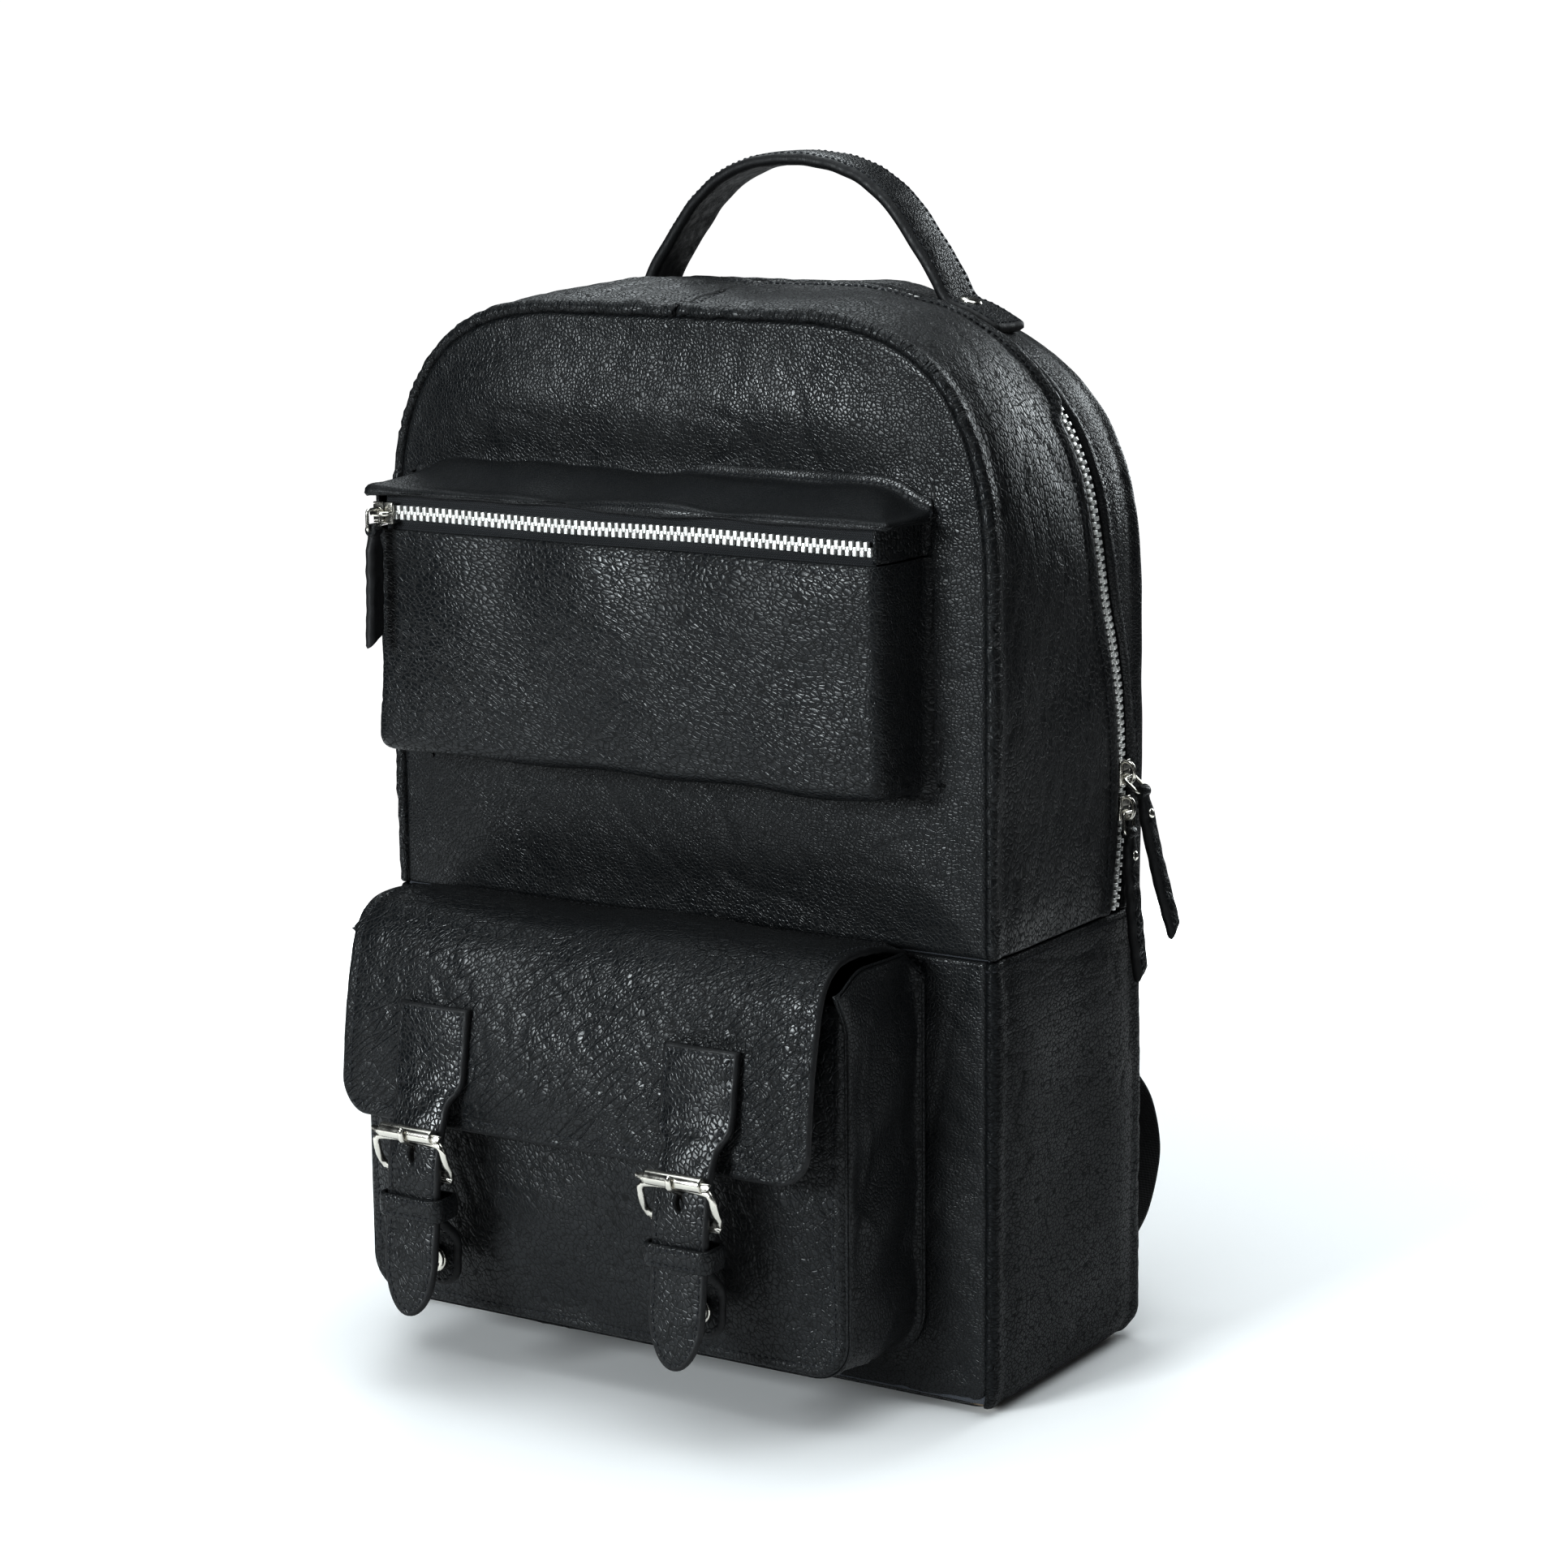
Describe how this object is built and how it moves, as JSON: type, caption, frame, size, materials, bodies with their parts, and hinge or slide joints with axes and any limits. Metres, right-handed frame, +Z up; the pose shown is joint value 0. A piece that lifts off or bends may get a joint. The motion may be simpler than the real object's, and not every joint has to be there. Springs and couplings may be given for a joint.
{
  "type": "leather backpack",
  "caption": "Boxy leather laptop backpack with a buckled flap pocket, a zipped upper pocket, a zipper over the top, a carry handle and padded shoulder straps.",
  "frame": {"origin": "middle of the underside of the base panel, on the surface that the bag stands on", "axes": "+Z up, -Y to the front where the pockets are, +X to the bag's right side as seen from the front"},
  "size_m": [0.3155, 0.2715, 0.498],
  "materials": {
    "body_leather": "satin pebbled full-grain leather, near black",
    "trim_leather": "satin grained strap leather, near black",
    "pad_leather": "soft satin leather over foam",
    "webbing": "matt woven webbing, black",
    "zipper_tape": "matt herringbone tape, charcoal",
    "zipper_metal": "bright polished nickel teeth",
    "nickel": "polished nickel plate, slightly warm",
    "adjuster_plastic": "moulded, black",
    "lining_cloth": "plain woven polyester, dark grey",
    "padding": "quilted foam board in cloth",
    "stiffener_board": "pressed fibre board"
  },
  "bodies": {
    "root": {"front_panel_upper": "body_leather", "front_panel_lower": "body_leather", "gusset_front_right": "body_leather", "gusset_front_left": "body_leather", "gusset_back_strip": "body_leather", "side_panel_lower_right": "body_leather", "side_panel_lower_left": "body_leather", "base_panel": "body_leather", "base_board": "stiffener_board", "back_panel": "body_leather", "back_foam": "padding", "lining": "lining_cloth", "laptop_sleeve": "padding", "main_zipper_chain": "zipper_metal", "main_tape_front": "zipper_tape", "main_tape_back": "zipper_tape", "upper_pocket_front": "body_leather", "upper_pocket_gusset": "body_leather", "upper_pocket_hood": "body_leather", "pocket_zipper_tape": "zipper_tape", "pocket_zipper_chain": "zipper_metal", "lower_pocket_front": "body_leather", "lower_pocket_gusset": "body_leather", "snap_stud_left": "nickel", "snap_stud_right": "nickel", "handle_foot_left": "body_leather", "handle_foot_right": "body_leather", "handle_rivet_left": "nickel", "handle_rivet_right": "nickel", "webbing_left": "webbing", "webbing_right": "webbing"},
    "flap": {"flap": "body_leather", "strap_left": "trim_leather", "strap_right": "trim_leather", "buckle_frame_left": "nickel", "buckle_frame_right": "nickel", "chape_left": "trim_leather", "chape_right": "trim_leather", "keeper_left": "trim_leather", "keeper_right": "trim_leather", "snap_cap_left": "nickel", "snap_cap_right": "nickel"},
    "roller_left": {"buckle_roller_left": "nickel"},
    "roller_right": {"buckle_roller_right": "nickel"},
    "prong_left": {"buckle_prong_left": "nickel"},
    "prong_right": {"buckle_prong_right": "nickel"},
    "main_slider_upper": {"main_slider_upper": "nickel"},
    "main_slider_lower": {"main_slider_lower": "nickel"},
    "main_link_upper": {"main_link_upper": "nickel"},
    "main_link_lower": {"main_link_lower": "nickel"},
    "main_pull_upper": {"main_pull_upper": "trim_leather"},
    "main_pull_lower": {"main_pull_lower": "trim_leather"},
    "pocket_slider": {"pocket_slider": "nickel"},
    "pocket_link": {"pocket_link": "nickel"},
    "pocket_pull": {"pocket_pull": "trim_leather"},
    "handle": {"handle": "body_leather"},
    "shoulder_left": {"shoulder_pad_left": "pad_leather", "adjuster_left": "adjuster_plastic"},
    "shoulder_right": {"shoulder_pad_right": "pad_leather", "adjuster_right": "adjuster_plastic"}
  },
  "joints": [
    {"name": "flap_hinge", "type": "hinge", "parent": "root", "child": "flap", "pos_m": [0, -0.0625, 0.1905], "axis": [-1, 0, 0], "range_deg": [0, 62]},
    {"name": "roller_left_spin", "type": "hinge", "parent": "flap", "child": "roller_left", "pos_m": [-0.07, -0.1604, 0.1125], "axis": [1, 0, 0], "continuous": true},
    {"name": "roller_right_spin", "type": "hinge", "parent": "flap", "child": "roller_right", "pos_m": [0.06, -0.1604, 0.1125], "axis": [1, 0, 0], "continuous": true},
    {"name": "prong_left_tilt", "type": "hinge", "parent": "flap", "child": "prong_left", "pos_m": [-0.07, -0.1508, 0.093], "axis": [1, 0, 0], "range_deg": [0, 10]},
    {"name": "prong_right_tilt", "type": "hinge", "parent": "flap", "child": "prong_right", "pos_m": [0.06, -0.1508, 0.093], "axis": [1, 0, 0], "range_deg": [0, 10]},
    {"name": "main_slider_upper_travel", "type": "hinge", "parent": "root", "child": "main_slider_upper", "pos_m": [0.146, -0.154, 0.24], "axis": [1, 0, 0], "range_deg": [0, 16]},
    {"name": "main_slider_lower_travel", "type": "hinge", "parent": "root", "child": "main_slider_lower", "pos_m": [0.146, -0.154, 0.24], "axis": [1, 0, 0], "range_deg": [-9, 0]},
    {"name": "main_link_upper_swing", "type": "hinge", "parent": "main_slider_upper", "child": "main_link_upper", "pos_m": [0.149, 0.04593, 0.2454], "axis": [0, -0.9994, -0.035], "range_deg": [0, 70]},
    {"name": "main_link_lower_swing", "type": "hinge", "parent": "main_slider_lower", "child": "main_link_lower", "pos_m": [0.149, 0.04578, 0.2304], "axis": [0, -0.9992, 0.04], "range_deg": [0, 6]},
    {"name": "main_pull_upper_swing", "type": "hinge", "parent": "main_link_upper", "child": "main_pull_upper", "pos_m": [0.15551, 0.04612, 0.23994], "axis": [0, -0.9994, -0.035], "range_deg": [0, 60]},
    {"name": "main_pull_lower_swing", "type": "hinge", "parent": "main_link_lower", "child": "main_pull_lower", "pos_m": [0.14989, 0.04544, 0.22196], "axis": [0, -0.9992, 0.04], "range_deg": [-3, 5]},
    {"name": "pocket_slider_travel", "type": "slide", "parent": "root", "child": "pocket_slider", "axis": [1, 0, 0], "range_m": [0, 0.228]},
    {"name": "pocket_link_swing", "type": "hinge", "parent": "pocket_slider", "child": "pocket_link", "pos_m": [-0.121, -0.1039, 0.3548], "axis": [-1, 0, 0], "range_deg": [0, 80]},
    {"name": "pocket_pull_swing", "type": "hinge", "parent": "pocket_link", "child": "pocket_pull", "pos_m": [-0.121, -0.1059, 0.34845], "axis": [0, 1, 0], "range_deg": [-40, 40]},
    {"name": "handle_sway", "type": "hinge", "parent": "root", "child": "handle", "pos_m": [0, 0.036, 0.4455], "axis": [1, 0, 0], "range_deg": [-10, 10], "stiffness_Nm_per_rad": 0.08},
    {"name": "shoulder_left_lift", "type": "hinge", "parent": "root", "child": "shoulder_left", "pos_m": [-0.044, 0.0645, 0.404], "axis": [1, 0, 0], "range_deg": [0, 12]},
    {"name": "shoulder_right_lift", "type": "hinge", "parent": "root", "child": "shoulder_right", "pos_m": [0.044, 0.0645, 0.404], "axis": [1, 0, 0], "range_deg": [0, 12]}
  ]
}
